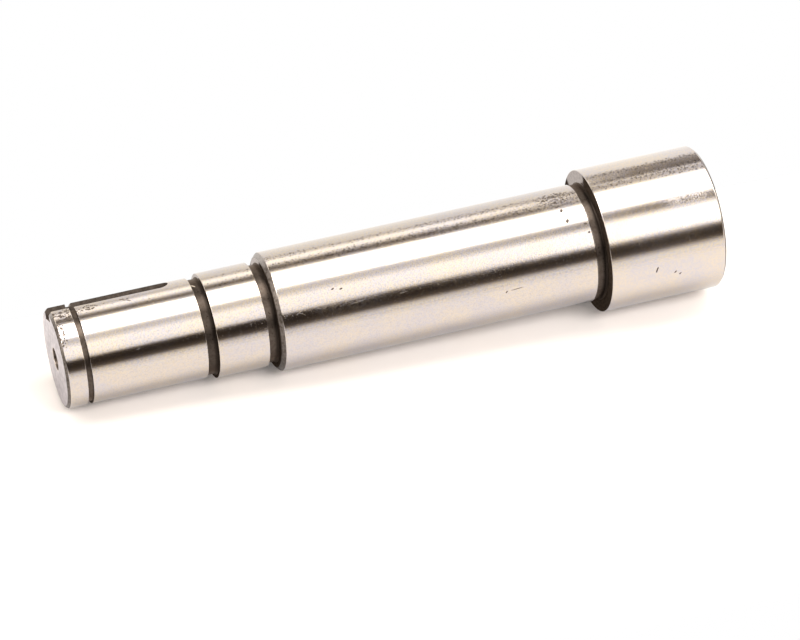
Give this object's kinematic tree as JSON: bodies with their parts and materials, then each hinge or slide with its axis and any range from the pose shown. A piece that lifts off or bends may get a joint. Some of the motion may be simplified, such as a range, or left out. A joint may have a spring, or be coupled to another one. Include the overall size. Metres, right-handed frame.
{
  "type": "attachment hub shaft",
  "caption": "Stepped, ground steel drive shaft with a square-socket head, a long body, a bearing journal and a keyed gear seat with a snap-ring groove.",
  "frame": {"origin": "centre of the head's end face, on the plane that the shaft stands on", "axes": "+Z along the shaft's axis, from the head up to the keyed end; +X through the middle of the keyway"},
  "size_m": [0.0344, 0.0344, 0.1595],
  "materials": {
    "steel": "hardened and ground, dark in the grooves"
  },
  "bodies": {
    "root": {"hub_shaft": "steel"}
  },
  "joints": []
}
